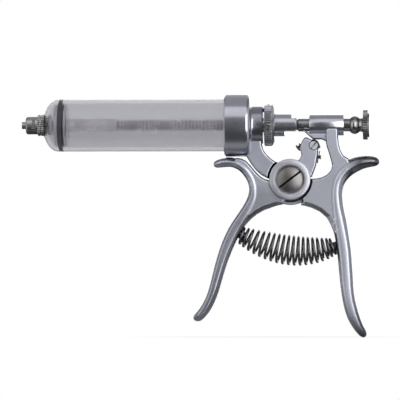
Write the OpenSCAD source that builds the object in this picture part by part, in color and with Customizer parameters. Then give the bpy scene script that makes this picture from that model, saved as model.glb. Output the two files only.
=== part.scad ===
// Automatic dosing syringe with a pistol grip, in millimetres.
// X runs along the barrel from the needle cone to the rear, Z is up, and the Y = 0 plane is the
// middle of the grip. The origin is the tip of the needle cone, on the barrel's axis.

/* [Needle end] */
// Outer diameter of the needle cone
cone_d = 4.0; // [3.9:0.1:4.2]
// Outer diameter of the lock collar round the cone
lock_d = 10.0; // [9.6:0.1:11]
// Outer diameter of the knurled nozzle nut
nozzle_nut_d = 11.8; // [11:0.1:12.4]
// Diameter of the liquid's channel
channel_d = 1.6; // [1.2:0.1:2]

/* [Barrel and piston] */
// Outer diameter of the barrel
barrel_d = 29.3; // [28.8:0.1:29.4]
// Thickness of the barrel's wall
barrel_wall = 2.0; // [1.8:0.1:2.2]
// Diameter of the rod that pushes the piston
rod_d = 7.2; // [7:0.1:7.4]
// Spacing of the ring teeth on the rod, one millilitre each
tooth_pitch = 2.0; // [2:0.5:2]
// Depth of the grooves between the ring teeth
tooth_depth = 0.9; // [0.7:0.1:0.9]

/* [Frame] */
// Outer diameter of the collar that holds the barrel
collar_d = 35.4; // [34:0.1:35.6]
// Thickness of the frame's flat plates
plate_t = 11.3; // [10.8:0.1:12]
// Depth of the round grip bars, measured across the hand
bar_depth = 13.0; // [12:0.1:14]
// Outer diameter of the rod's rear guide sleeve
sleeve_d = 11.7; // [10.8:0.1:11.8]

/* [Dose dial] */
// Outer diameter of the dial's knurled rim
dial_d = 24.0; // [23.6:0.1:24.4]
// Outer diameter of the dial's stepped hub
hub_d = 12.5; // [12:0.1:12.6]

/* [Lever] */
// Outer diameter of the raised ring round the main screw
ring_d = 23.0; // [22:0.1:23]
// Diameter of the main screw's head
screw_head_d = 15.2; // [14.6:0.1:15.4]
// Diameter of the main screw's bearing
bearing_d = 8.0; // [7.6:0.1:8.4]
// Diameter of the handle spring's wire
wire_d = 1.5; // [1.3:0.1:1.5]
// Number of turns in the handle spring
spring_turns = 19; // [18:1:19]

/* [Hidden] */

$fn = 72;
eps = 0.01;
running = 0.05;      // radial clearance of a running fit
apart = 0.1;         // gap between faces that slide past each other

// Places along the barrel's axis
lock_x = 2.3;
lock_floor_x = 6.2;
lock_end_x = 8.9;
dome_x = 12.6;
dome_end_x = 20.4;
collar_x = 114;
barrel_end_x = 124;
gasket_t = 1.4;
collar_floor_x = barrel_end_x + gasket_t;
collar_end_x = 128.6;
neck_end_x = 135.5;
dial_x = 136.3;
dial_rim_end_x = 140.6;
dial_cone_end_x = 141.8;
sleeve_x = 161.3;
sleeve_end_x = 180.7;
knob_x = 184;
knob_end_x = 194.9;

// Radii
cone_r = cone_d / 2;
channel_r = channel_d / 2;
barrel_r = barrel_d / 2;
bore_r = barrel_r - barrel_wall;
rod_r = rod_d / 2;
stem_r = 2.6;
stud_r = 2.5;
tube_r = rod_r + running + 0.4;
hub_r = hub_d / 2;
neck_r = 10.7;
plate_y = plate_t / 2;
bar_y = bar_depth / 2;

// The piston's stack, from its front nut to the rod's shoulder
piston_x = 17.2;
piston_disc_x = 18.6;
seal_x = 20.5;
seal_end_x = 24;
rod_x = 25.6;
seal_groove_r = 9.45;
disc_r = bore_r - 0.8;

// The ring teeth
first_groove_x = 54.4;
groove_count = 51;

// The dose steps are flats on the hub, cut from its rear end to a stop face each.
// The entries are the turn of the flat about the axis and the place of its stop face.
hub_end_x = 153.6;
hub_flat = 3.4;
dose_steps = [[0, 147.5], [90, 149.5], [180, 151.5]];

// The detent's hole in the neck, and the little spring in it
detent_x = neck_end_x - 5;
detent_z = 8.4;
detent_wire_d = 0.3;
detent_turns = 3;
detent_coil_r = 1.2;

// The lever turns about the main screw, the pawl about its own
main_pivot = [150.6, -30.6];
pawl_pivot = [163.9, -11.5];
ring_r = ring_d / 2;
ring_front_y = -7.6;
ring_floor_y = -4.4;
recess_r = screw_head_d / 2 + 0.5;
boss_r = 14.1;
bearing_r = bearing_d / 2;
screw_thread_r = 3;
arm_y = 4.6;
slot_y = 2.0;
pawl_y = 1.8;
pawl_bore_r = 1.5 + running;

// Outlines in the XZ plane, clockwise. A third number is the width of the bevel at that corner.
edge_bevel = 0.7;
arch_bevel = 2.3;
bevel_depth = 1.3;
neck_plate = [
    [126.5, -4], [134.9, -4], [135, -11.1], [136.1, -14.4], [138.2, -17.1], [140.9, -19.5],
    [144.3, -21.4], [150, -24], [146, -33], [137.7, -29.7], [134.3, -27.9], [131.4, -25.2],
    [128.9, -21.9], [126.8, -18.6], [125, -15.2], [126.5, -14.4]
];
palm_plate = [
    [162.7, -30.1], [165, -30], [168.3, -29.3], [171.1, -27.9], [173.4, -25.6], [174.2, -22.8],
    [173.4, -19.5], [172.3, -15.6], [171.1, -12.2], [170.5, -8.8], [170.5, -3], [171.5, -1.6],
    [176.8, -1.6], [177.6, -2.4], [177.6, -6.6], [178.1, -11.1], [179, -14.4], [180.7, -17.2],
    [183.5, -18.9], [184.5, -24], [178.5, -32], [177, -42], [178.5, -52], [178.5, -61],
    [175.4, -61], [174.3, -58.3, arch_bevel], [173.1, -55.4, arch_bevel],
    [171.2, -52, arch_bevel], [167.3, -48.6, arch_bevel], [162.7, -46.4, arch_bevel],
    [158.6, -45.2, arch_bevel], [156.5, -44.9, 1.5], [157.6, -42], [156, -36]
];
finger_web = [
    [157.9, -3.3, 0.25], [158.5, -2.6, 0.25], [160, -3.8, 0.5], [161.5, -4.4, 0.5], [172, -4.4, 0.5],
    [172, -10, 0.5], [170.2, -9, 0.5], [168.3, -8.1, 0.5], [163.2, -8, 0.5]
];
// The way of the pawl through the finger
finger_slot = [
    [155, 0], [161, 0], [161, -4.7], [163.5, -5.9], [166.8, -6.7], [166.8, -12], [155, -12]
];
lever_plate = [
    [118.6, -20], [120.4, -18.4], [123.4, -18.8], [126.2, -20.2], [128.4, -22.6], [131.1, -25.9],
    [134, -28.8], [136.4, -30.3],
    [138.6, -30.9], [146, -30], [150, -38], [147.1, -44.3], [143.1, -45.2, arch_bevel],
    [135.9, -47.6, arch_bevel], [131.9, -49.9, arch_bevel], [128.8, -52.4, arch_bevel],
    [126, -55.4, arch_bevel], [123.6, -58.8, arch_bevel], [119.5, -58.8], [123.5, -50],
    [128.4, -41], [129, -33], [126, -25.6]
];
carrier_arm = [
    [152, -22.5], [154.5, -20.4], [156.3, -18.6], [156.9, -16.8], [156.5, -15], [155.7, -13.1],
    [156.4, -11.2], [157.5, -8.5], [158.6, -7.2], [159.6, -6.8], [162.8, -8.4], [164.9, -9.6],
    [165.8, -10.9], [166.2, -12.6], [166.2, -17], [165.2, -22.8], [162.8, -29.2], [156, -30]
];
// The pawl as it stands with its teeth in the rod's grooves, at the end of the lever's travel
pawl_outline = [
    [147.8, -4.8], [148.05, -3.15], [148.2, -3.02], [148.55, -3.02], [148.95, -3.9], [149.85, -3.9],
    [150.05, -3.15], [150.2, -3.02], [150.55, -3.02], [151.1, -4.1], [153.4, -5.3], [155.6, -5.6],
    [157.4, -4.7], [159.2, -5.5], [160.1, -7.2], [160, -8.9], [159.7, -10.9], [156.9, -11.1],
    [154.4, -10.3], [150.4, -7.6], [148.3, -6.6]
];
lever_max = 19;      // the lever's travel, at which the pawl outline is drawn
pawl_max = 49;       // the pawl's travel from its stored place to the rod

// Stations of the grip bars: X, Z, half the width in the plate's plane, half the depth as a share
// of the bar's, and how flat the faces are, from 0 for round to 1
palm_bar = [
    [200.4, -20.4, 0.9, 0.30, 0], [199.5, -20.4, 2.0, 0.55, 0], [197.6, -20.4, 2.8, 0.75, 0],
    [194.6, -20.4, 3.3, 0.90, 0.1], [190.9, -20.9, 3.7, 1, 0.2], [187.0, -22.1, 4.2, 1, 0.3],
    [183.2, -24.2, 4.3, 1, 0.4], [179.8, -27.5, 4.1, 1, 0.5], [177.3, -31.8, 3.9, 1, 0.5],
    [176.3, -36.8, 3.8, 1, 0.5], [176.4, -42.0, 3.8, 1, 0.5], [177.0, -47.5, 3.9, 1, 0.5],
    [177.9, -53.1, 4.2, 1, 0.6], [178.9, -58.8, 4.2, 1, 0.7], [179.9, -64.5, 4.1, 1, 0.8],
    [180.8, -71.0, 4.1, 1, 0.8], [181.4, -77.7, 4.0, 1, 0.8], [182.0, -85.0, 3.9, 1, 0.8],
    [182.6, -92.0, 3.7, 1, 0.8], [183.5, -97.9, 3.6, 0.98, 0.8], [184.8, -103.4, 3.6, 0.95, 0.7],
    [186.4, -108.1, 3.4, 0.90, 0.6], [188.6, -112.6, 2.9, 0.80, 0.5], [190.1, -114.9, 2.6, 0.70, 0.4],
    [191.2, -116.5, 2.3, 0.60, 0.2], [192.0, -117.7, 1.6, 0.45, 0], [192.5, -118.4, 0.7, 0.25, 0]
];
lever_bar = [
    [107.7, -22.2, 0.9, 0.30, 0], [108.9, -21.9, 2.0, 0.55, 0], [111.2, -21.3, 2.5, 0.75, 0],
    [114.3, -20.8, 2.7, 0.85, 0.1], [117.8, -20.8, 2.7, 0.95, 0.2], [121.2, -21.9, 2.7, 1, 0.3],
    [124.3, -23.8, 2.8, 1, 0.3], [127.0, -26.7, 2.9, 1, 0.3], [129.1, -30.2, 2.9, 1, 0.3],
    [130.2, -34.0, 2.9, 1, 0.4], [130.3, -37.5, 3.0, 1, 0.5], [129.6, -41.4, 3.2, 1, 0.6],
    [127.1, -46.6, 3.3, 1, 0.7], [123.5, -52.5, 3.5, 1, 0.8], [120.0, -58.0, 3.6, 1, 0.8],
    [117.3, -63.2, 3.6, 1, 0.8], [115.0, -68.5, 3.5, 1, 0.8], [112.9, -74.3, 3.3, 1, 0.8],
    [111.0, -80.6, 3.15, 1, 0.8], [109.3, -86.9, 3.0, 1, 0.8], [107.6, -92.8, 2.9, 1, 0.8],
    [105.6, -98.0, 2.8, 0.98, 0.8], [102.9, -102.9, 2.8, 0.93, 0.7], [100.1, -106.4, 2.7, 0.85, 0.5],
    [98.6, -107.6, 2.5, 0.70, 0.3], [97.4, -108.5, 1.7, 0.45, 0], [96.8, -109.0, 0.7, 0.25, 0]
];

// The handle spring's axis is an arc between the pegs, and its coils are widest in the middle
spring_lever_end = [122.6, -61.2];
spring_frame_end = [175.3, -67.8];
spring_arc = [150.5, -75.2];
spring_end_r = 3.8;
spring_mid_r = 7.9;
spring_close_turns = 2;
spring_close_pitch = 2.1;
spring_length = 53;
spring_seat_r = spring_end_r + wire_d / 2 + 0.3;
spring_seat_depth = wire_d + 0.7;
peg_r = 2.4;
peg_depth = 5.5;
peg_length = 8.5;

// A body of revolution about the barrel's axis, from points of radius and X
module turned(profile, sides = 72)
    rotate([0, 90, 0]) rotate_extrude($fn = sides) polygon(profile);

// A rod along the barrel's axis
module rod_x(radius, from, to)
    translate([from, 0, 0]) rotate([0, 90, 0]) cylinder(r = radius, h = to - from);

// A pin across the plates, at a place in the XZ plane
module pin_y(at, radius, from, to)
    translate([at.x, to, at.y]) rotate([90, 0, 0]) cylinder(r = radius, h = to - from);

// A plate between two depths, with an outline in the XZ plane
module slab(outline, from, to)
    translate([0, to, 0]) rotate([90, 0, 0]) linear_extrude(to - from) polygon(outline);

// The corners of an outline, each moved inwards by the width of its bevel
function unit(v) = v / norm(v);
function inset(outline) = [
    for (i = [0 : len(outline) - 1])
        let (
            n = len(outline),
            at = [outline[i].x, outline[i].y],
            before = [outline[(i + n - 1) % n].x, outline[(i + n - 1) % n].y],
            after = [outline[(i + 1) % n].x, outline[(i + 1) % n].y],
            way_in = unit(at - before),
            way_out = unit(after - at),
            left_in = [way_in.y, -way_in.x],
            left_out = [way_out.y, -way_out.x],
            bevel = len(outline[i]) > 2 ? outline[i][2] : edge_bevel
        )
        at + bevel * (left_in + left_out) / (1 + left_in * left_out)
];

// Cuts a clockwise outline into triangles, one convex corner with nothing inside it at a time
function turn_of(a, b, c) = (b.x - a.x) * (c.y - a.y) - (b.y - a.y) * (c.x - a.x);
function is_within(p, a, b, c) =
    turn_of(a, b, p) <= 0 && turn_of(b, c, p) <= 0 && turn_of(c, a, p) <= 0;
function is_ear(points, left, k) =
    let (
        n = len(left),
        a = left[(k + n - 1) % n],
        b = left[k],
        c = left[(k + 1) % n]
    )
    turn_of(points[a], points[b], points[c]) < 0
    && len([
        for (i = left)
            if (i != a && i != b && i != c && is_within(points[i], points[a], points[b], points[c])) i
    ]) == 0;
function triangles(points, left) =
    len(left) == 3 ? [left]
    : let (n = len(left), k = [for (i = [0 : n - 1]) if (is_ear(points, left, i)) i][0])
    concat(
        [[left[(k + n - 1) % n], left[k], left[(k + 1) % n]]],
        triangles(points, [for (i = [0 : n - 1]) if (i != k) left[i]])
    );

// A plate like slab(), with bevelled edges on both faces
module bevelled_slab(outline, from, to) {
    n = len(outline);
    narrow = inset(outline);
    corners = concat(
        [for (p = narrow) [p.x, from, p.y]],
        [for (p = outline) [p.x, from + bevel_depth, p.y]],
        [for (p = outline) [p.x, to - bevel_depth, p.y]],
        [for (p = narrow) [p.x, to, p.y]]
    );
    walls = [
        for (ring = [0 : 2])
            for (i = [0 : n - 1])
                let (a = ring * n + i, b = ring * n + (i + 1) % n)
                each [[a, a + n, b + n], [a, b + n, b]]
    ];
    cap = triangles(narrow, [for (i = [0 : n - 1]) i]);
    polyhedron(corners, concat(
        walls, cap, [for (t = cap) [3 * n + t[2], 3 * n + t[1], 3 * n + t[0]]]
    ));
}

// A body of revolution about a line across the plates, from points of radius and Y
module turned_y(at, profile)
    translate([at.x, 0, at.y]) rotate([90, 0, 0]) mirror([0, 0, 1]) rotate_extrude() polygon(profile);

// Turns its children in the XZ plane about a place, up and over from +X to +Z
module swing(at, degrees)
    translate([at.x, 0, at.y]) rotate([0, -degrees, 0]) translate([-at.x, 0, -at.y]) children();

// Points at even steps on a smooth curve through the stations
function curve_point(a, b, c, d, t) =
    0.5 * (2 * b + (c - a) * t + (2 * a - 5 * b + 4 * c - d) * t * t
    + (3 * b - a - 3 * c + d) * t * t * t);
function smooth(p, steps) = [
    for (i = [0 : len(p) - 2])
        for (k = [0 : steps - 1])
            curve_point(p[max(i - 1, 0)], p[i], p[i + 1], p[min(i + 2, len(p) - 1)], k / steps),
    p[len(p) - 1]
];

// Squares off a circle's sine or cosine, so that a bar has flat faces and soft corners
function soft(value, power) = sign(value) * pow(abs(value), power);

// A bar swept along its stations, with a section square to the path
module grip_bar(stations, sides = 16) {
    path = smooth(stations, 2);
    last = len(path) - 1;
    rings = [
        for (i = [0 : last])
            let (
                ahead = path[min(i + 1, last)] - path[max(i - 1, 0)],
                across = [-ahead[1], ahead[0]] / norm([ahead[0], ahead[1]])
            )
            for (k = [0 : sides - 1])
                let (
                    turn = 360 * (k + 0.5) / sides,
                    power = 1 - 0.45 * path[i][4],
                    side = soft(cos(turn), power) * path[i][2],
                    depth = soft(sin(turn), power) * path[i][3] * bar_y
                )
                [path[i][0] + across[0] * side, depth, path[i][1] + across[1] * side]
    ];
    walls = [
        for (i = [0 : last - 1])
            for (k = [0 : sides - 1])
                let (a = i * sides + k, b = i * sides + (k + 1) % sides)
                each [[a, b, b + sides], [a, b + sides, a + sides]]
    ];
    polyhedron(rings, concat(
        walls,
        [[for (k = [0 : sides - 1]) sides - 1 - k]],
        [[for (k = [0 : sides - 1]) last * sides + k]]
    ));
}

// Cuts a ring of small straight grooves, as a knurl
module knurled_disc(radius, depth, count, from, to)
    translate([from, 0, 0]) rotate([0, 90, 0]) linear_extrude(to - from)
        polygon([
            for (k = [0 : 2 * count - 1])
                (radius - (k % 2) * depth) * [cos(180 * k / count), sin(180 * k / count)]
        ]);

// The dome's radius at a place along the axis, outside or inside
function dome_r(x, outer, length) = outer * sqrt(max(0, 1 - pow((dome_end_x - x) / length, 2)));

module barrel() {
    outer_length = 8.8;
    inner_length = 6.7;
    inner_x = dome_x + barrel_wall;
    steps = 8;
    outside = [
        for (k = [0 : steps])
            let (x = dome_x + (dome_end_x - dome_x) * k / steps)
            [dome_r(x, barrel_r, outer_length), x]
    ];
    inside = [
        for (k = [steps : -1 : 0])
            let (x = inner_x + (dome_end_x - inner_x) * k / steps)
            [dome_r(x, bore_r, inner_length), x]
    ];
    color([0.72, 0.72, 0.75, 0.45]) turned(concat(
        [[stem_r, dome_x]], outside, [[barrel_r, barrel_end_x], [bore_r, barrel_end_x]],
        inside, [[stem_r, inner_x]]
    ), 96);
}

module barrel_gasket() {
    color("dimgray") turned([
        [bore_r, barrel_end_x], [barrel_r, barrel_end_x], [barrel_r, collar_floor_x],
        [bore_r, collar_floor_x]
    ], 96);
}

module luer_head() {
    lock_r = lock_d / 2;
    color("gray") difference() {
        turned([
            [channel_r, 0], [cone_r, 0], [cone_r, lock_floor_x],
            [lock_r - 1.05, lock_floor_x], [lock_r - 1.05, lock_x], [lock_r - 0.8, lock_x],
            [lock_r, lock_x + 0.9], [lock_r, lock_end_x], [stem_r, lock_end_x],
            [stem_r, lock_floor_x + 0.5], [channel_r, lock_floor_x + 0.5]
        ]);
        // the slot that shows across the collar
        translate([5.9, -lock_r - 1, -2.1]) cube([1.7, 2, 6.4]);
    }
}

module nozzle_nut() {
    color("dimgray") difference() {
        knurled_disc(nozzle_nut_d / 2, 0.3, 28, lock_end_x, dome_x);
        rod_x(stem_r, lock_end_x - 1, dome_x + 1);
    }
}

module nozzle_stem() {
    flange_x = dome_x + barrel_wall + 0.8;
    color("silver") turned([
        [channel_r, lock_floor_x + 0.5], [stem_r, lock_floor_x + 0.5], [stem_r, flange_x],
        [5.5, flange_x], [5.5, flange_x + 1.2], [channel_r, flange_x + 1.2]
    ]);
}

module nozzle_washer() {
    from = dome_x + barrel_wall;
    color("dimgray") turned([[stem_r, from], [5.8, from], [5.8, from + 0.8], [stem_r, from + 0.8]]);
}

module piston_nut() {
    color("silver") difference() {
        turned([
            [0, piston_x], [3.4, piston_x], [4, piston_x + 0.5], [4, piston_disc_x],
            [stud_r, piston_disc_x], [stud_r, piston_x + 0.4], [0, piston_x + 0.4]
        ]);
        translate([piston_x - 0.1, -4.5, -0.4]) cube([0.35, 9, 0.8]);
    }
}

module piston_front_disc() {
    color("silver") turned([
        [stud_r, piston_disc_x], [disc_r - 0.6, piston_disc_x], [disc_r, piston_disc_x + 0.6],
        [disc_r, seal_x], [seal_groove_r, seal_x], [seal_groove_r, seal_end_x], [stud_r, seal_end_x]
    ]);
}

module piston_seal() {
    middle = (seal_x + seal_end_x) / 2;
    half = (seal_end_x - seal_x) / 2;
    outer = bore_r - 0.1;
    crown = [
        for (k = [-5 : 5])
            [outer - 1.2 * (1 - cos(15 * k)), middle + half * sin(15 * k) / sin(75)]
    ];
    color([0.26, 0.27, 0.3]) turned(concat(
        [[seal_groove_r, seal_x]], crown, [[seal_groove_r, seal_end_x]]
    ), 96);
}

module piston_rear_disc() {
    color("silver") turned([
        [stud_r, seal_end_x], [disc_r, seal_end_x], [disc_r, rod_x - 0.5], [disc_r - 0.5, rod_x],
        [stud_r, rod_x]
    ]);
}

module toothed_rod() {
    mouth = tooth_pitch * 0.72 / 2;
    root = tooth_pitch * 0.3 / 2;
    teeth = [
        for (k = [0 : groove_count - 1])
            let (x = first_groove_x + k * tooth_pitch)
            each [
                [rod_r, x - mouth], [rod_r - tooth_depth, x - root],
                [rod_r - tooth_depth, x + root], [rod_r, x + mouth]
            ]
    ];
    color("slategray") turned(concat(
        [[0, piston_x + 0.4], [stud_r, piston_x + 0.4], [stud_r, rod_x], [rod_r, rod_x]],
        teeth,
        [[rod_r, knob_x], [stud_r, knob_x], [stud_r, knob_x + 6], [0, knob_x + 6]]
    ));
}

module rod_knob() {
    ball_x = knob_x + 2.7;
    ball = [for (k = [-3 : 3]) [5.1 * cos(14 * k), ball_x + 4 * sin(14 * k)]];
    disc_x = 191.4;
    color("slategray") difference() {
        union() {
            turned(concat(
                [[0, knob_x]], ball,
                [[3.7, 190.2], [4.2, 191], [5, disc_x], [5, disc_x + 0.5], [0, disc_x + 0.5]]
            ));
            knurled_disc(8.2, 0.35, 40, disc_x, disc_x + 2.6);
            turned([[0, disc_x + 2.5], [7.2, disc_x + 2.5], [6.6, knob_end_x], [0, knob_end_x]]);
        }
        rod_x(stud_r, knob_x - 1, knob_x + 6);
    }
}

module collar_and_neck() {
    collar_r = collar_d / 2;
    edge = [
        for (k = [0 : 5])
            [collar_r - 2.4 * (1 - cos(18 * k)), collar_end_x - 2.4 + 2.4 * sin(18 * k)]
    ];
    fillet = [
        for (k = [0 : 4])
            [neck_r + 1.6 * (1 - sin(22.5 * k)), collar_end_x + 1.6 * (1 - cos(22.5 * k))]
    ];
    turned(concat(
        [[barrel_r + 0.1, collar_x], [collar_r - 0.7, collar_x], [collar_r, collar_x + 0.7]],
        edge, fillet,
        [
            [neck_r, neck_end_x - 0.5], [neck_r - 0.5, neck_end_x], [tube_r, neck_end_x],
            [tube_r, collar_floor_x], [barrel_r + 0.1, collar_floor_x]
        ]
    ), 96);
}

module frame() {
    index_turn = 17;
    color("lightslategray") difference() {
        union() {
            collar_and_neck();
            // the rear halves pass behind the lever's ring
            difference() {
                union() {
                    bevelled_slab(neck_plate, -plate_y, plate_y);
                    bevelled_slab(palm_plate, -plate_y, plate_y);
                }
                pin_y(main_pivot, ring_r + 1.1, -plate_y - 1, apart);
                rod_x(barrel_r + 0.1, collar_x, collar_floor_x);
                rod_x(tube_r, collar_floor_x - 1, neck_end_x + 1);
            }
            pin_y(main_pivot, ring_r, apart, plate_y);
            intersection() {
                pin_y(main_pivot, boss_r, apart, plate_y);
                slab([[140, -38], [162, -38], [162, -50], [140, -50]], apart, plate_y);
            }
            bevelled_slab(finger_web, -arm_y, arm_y);
            rod_x(sleeve_d / 2, sleeve_x, sleeve_end_x);
            grip_bar(palm_bar);
        }
        // the rod's way through the sleeve, and its room over the finger
        rod_x(rod_r + running, sleeve_x - 1, sleeve_end_x + 1);
        rod_x(rod_r + 0.35, 155, sleeve_x);
        slab(finger_slot, -pawl_y - 0.4, pawl_y + 0.4);
        pin_y(main_pivot, screw_thread_r, -plate_y - 1, plate_y + 1);
        // the flat with the index mark
        rotate([-index_turn, 0, 0]) translate([130.2, -neck_r - 1, -2.3]) cube([4.7, 1.25, 4.6]);
        translate([detent_x, 0, detent_z]) rotate([0, 90, 0]) cylinder(r = 1.55, h = 6);
        at_frame_end() spring_seat();
    }
}

module guide_tube() {
    flange_x = hub_end_x + 0.1;
    color("silver") difference() {
        turned([
            [rod_r + running, collar_floor_x], [tube_r, collar_floor_x], [tube_r, flange_x],
            [tube_r + 0.6, flange_x], [tube_r + 0.6, flange_x + 0.4], [tube_r, flange_x + 0.8],
            [rod_r + running, flange_x + 0.8]
        ]);
        // the opening below, through which the pawl meets the rod
        translate([147.3, -6, -8]) cube([10, 12, 8 - 2.8]);
    }
}

module dose_dial() {
    rim_r = dial_d / 2;
    number_turn = 9;
    color("slategray") difference() {
        union() {
            knurled_disc(rim_r, 0.35, 56, dial_x + 0.4, dial_rim_end_x - 0.3);
            turned([
                [0, dial_x], [rim_r - 0.6, dial_x], [rim_r - 0.6, dial_rim_end_x - 0.1],
                [rim_r - 1.2, dial_rim_end_x], [rim_r - 3.2, dial_cone_end_x],
                [hub_r, dial_cone_end_x], [hub_r, hub_end_x], [0, hub_end_x]
            ]);
        }
        rod_x(tube_r + running, dial_x - 1, hub_end_x + 1);
        // the four flats that carry the dose numbers
        for (turn = [0 : 90 : 270])
            rotate([turn + number_turn, 0, 0])
                translate([dial_x - 0.5, -rim_r - 1, -4.2])
                    cube([dial_rim_end_x - dial_x + 0.4, 1.65, 8.4]);
        // the dose steps
        for (step = dose_steps)
            rotate([step[0], 0, 0]) translate([step[1], -8, -hub_r - 2])
                cube([10, 16, hub_r + 2 - hub_flat]);
        // the dimples for the detent ball
        for (turn = [0 : 90 : 270])
            rotate([turn, 0, 0]) translate([dial_x - eps, 0, detent_z]) rotate([0, 90, 0])
                cylinder(r1 = 1.15, r2 = 0.35, h = 0.4);
    }
}

module detent_ball() {
    color("silver") translate([dial_x - 1.52, 0, detent_z]) sphere(r = 1.5, $fn = 32);
}

module detent_spring() {
    color("dimgray") swept_wire(detent_wire, [for (p = detent_wire) [1, 0, 0]], detent_wire_d / 2);
}

module trigger_lever() {
    color("lightslategray") difference() {
        union() {
            // the plate's rear half leaves room for the frame's boss
            difference() {
                bevelled_slab(lever_plate, -plate_y, plate_y);
                pin_y(main_pivot, boss_r + 0.4, -apart, plate_y + 1);
                slab([[139.8, -32], [153, -32], [153, -52], [139.8, -52]], -apart, plate_y + 1);
            }
            difference() {
                bevelled_slab(carrier_arm, -arm_y, arm_y);
                pin_y(main_pivot, ring_r + 0.4, -apart, plate_y + 1);
            }
            turned_y(main_pivot, [
                [0, -apart], [ring_r, -apart], [ring_r, ring_front_y + 0.6],
                [ring_r - 0.6, ring_front_y], [0, ring_front_y]
            ]);
            grip_bar(lever_bar);
        }
        pin_y(main_pivot, bearing_r + running, -10, 1);
        pin_y(main_pivot, recess_r, ring_front_y - 1, ring_floor_y);
        turned_y(main_pivot, [
            [0, ring_front_y - 1], [recess_r + 1.3, ring_front_y - 1], [recess_r, ring_front_y + 0.3],
            [0, ring_front_y + 0.3]
        ]);
        // the pawl's slot, between two cheeks
        slab([[150, 0], [172, 0], [172, -15.6], [150, -15.6]], -slot_y, slot_y);
        pin_y(pawl_pivot, 1.5, -arm_y - 1, arm_y + 1);
        pin_y(pawl_pivot, 2.4, -arm_y - 1, -arm_y + 0.5);
        at_lever_end() spring_seat();
        at_leaf_screw() cylinder(r = 0.7, h = 10);
    }
}

// The domed head of the main screw sits in the ring's recess
module pivot_screw() {
    head_r = screw_head_d / 2;
    back_y = ring_floor_y - running;
    edge_y = back_y - 1.1;
    crown = 1.6;
    dome_radius = (head_r * head_r + crown * crown) / (2 * crown);
    dome_centre_y = edge_y - crown + dome_radius;
    dome = [
        for (r = [head_r : -head_r / 8 : 0.1])
            [r, dome_centre_y - sqrt(dome_radius * dome_radius - r * r)]
    ];
    color("rosybrown") difference() {
        union() {
            turned_y(main_pivot, concat([[0, back_y], [head_r, back_y]], dome, [[0, edge_y - crown]]));
            pin_y(main_pivot, bearing_r, back_y, apart);
            pin_y(main_pivot, screw_thread_r, 0, plate_y + 0.4);
        }
        swing(main_pivot, 37) translate([main_pivot.x - 10, edge_y - 3, main_pivot.y - 0.55])
            cube([20, 3.4, 1.1]);
    }
}

module pawl() {
    color([0.2, 0.2, 0.22]) swing(pawl_pivot, pawl_max) swing(main_pivot, -lever_max) difference() {
        slab(pawl_outline, -pawl_y, pawl_y);
        swing(main_pivot, lever_max) pin_y(pawl_pivot, pawl_bore_r, -pawl_y - 1, pawl_y + 1);
    }
}

module pawl_screw() {
    color("silver") difference() {
        union() {
            pin_y(pawl_pivot, 1.5, -arm_y - 0.4, arm_y + 0.2);
            pin_y(pawl_pivot, 2.35, -arm_y - 0.4, -arm_y + 0.5);
        }
        swing(pawl_pivot, 50) translate([pawl_pivot.x - 3, -arm_y - 1, pawl_pivot.y - 0.3])
            cube([6, 1, 0.6]);
    }
}

// Stands its children on the line of the leaf spring's screw
module at_leaf_screw()
    translate([162.6, 0, -18]) rotate([0, 90, 0]) children();

module pawl_spring() {
    color("slategray") difference() {
        slab([
            [166.9, -14.5], [167.4, -14.5], [166.8, -17.4], [166.05, -21.4], [165.55, -21.4],
            [166.3, -17.2]
        ], -pawl_y, pawl_y);
        at_leaf_screw() cylinder(r = 0.7, h = 10);
    }
}

module pawl_spring_screw() {
    color([0.2, 0.2, 0.22]) at_leaf_screw() {
        cylinder(r = 0.7, h = 4.45);
        translate([0, 0, 4.35]) cylinder(r = 1.15, h = 0.8);
    }
}

// A place on the handle spring's axis, and its direction there
function arc_point(t) =
    (1 - t) * (1 - t) * spring_lever_end + 2 * t * (1 - t) * spring_arc + t * t * spring_frame_end;
function arc_way(t) =
    unit((1 - t) * (spring_arc - spring_lever_end) + t * (spring_frame_end - spring_arc));

// How far along the axis the wire is after a number of turns: close at the ends, open between
function spring_share(turn) =
    let (
        step = spring_close_pitch / spring_length,
        close = spring_close_turns * step,
        open = (1 - 2 * close) / (spring_turns - 2 * spring_close_turns)
    )
    turn < spring_close_turns ? turn * step
    : turn > spring_turns - spring_close_turns ? 1 - (spring_turns - turn) * step
    : close + (turn - spring_close_turns) * open;
function coil_point(turn) =
    let (
        t = spring_share(turn),
        at = arc_point(t),
        way = arc_way(t),
        r = spring_end_r + (spring_mid_r - spring_end_r) * pow(sin(180 * t), 0.7),
        a = 360 * turn
    )
    [at.x - way.y * r * sin(a), r * cos(a), at.y + way.x * r * sin(a)];
rings_per_turn = 8;
coil = [for (k = [0 : spring_turns * rings_per_turn]) coil_point(k / rings_per_turn)];
// The ends turn square to the handles and run straight for one wire diameter
function out_of_plane(v) = [v.x, 0, v.y];
wire = concat(
    [coil[0] - out_of_plane(arc_way(0)) * (wire_d + 0.5), coil[0] - out_of_plane(arc_way(0)) * 0.5],
    [for (k = [1 : len(coil) - 2]) coil[k]],
    [
        coil[len(coil) - 1] + out_of_plane(arc_way(1)) * 0.5,
        coil[len(coil) - 1] + out_of_plane(arc_way(1)) * (wire_d + 0.5)
    ]
);

// The coil's axis at each point of the wire
wire_axes = [
    for (i = [0 : len(wire) - 1])
        out_of_plane(arc_way(min(1, max(0, (i - 1) / (len(wire) - 3)))))
];

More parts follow.
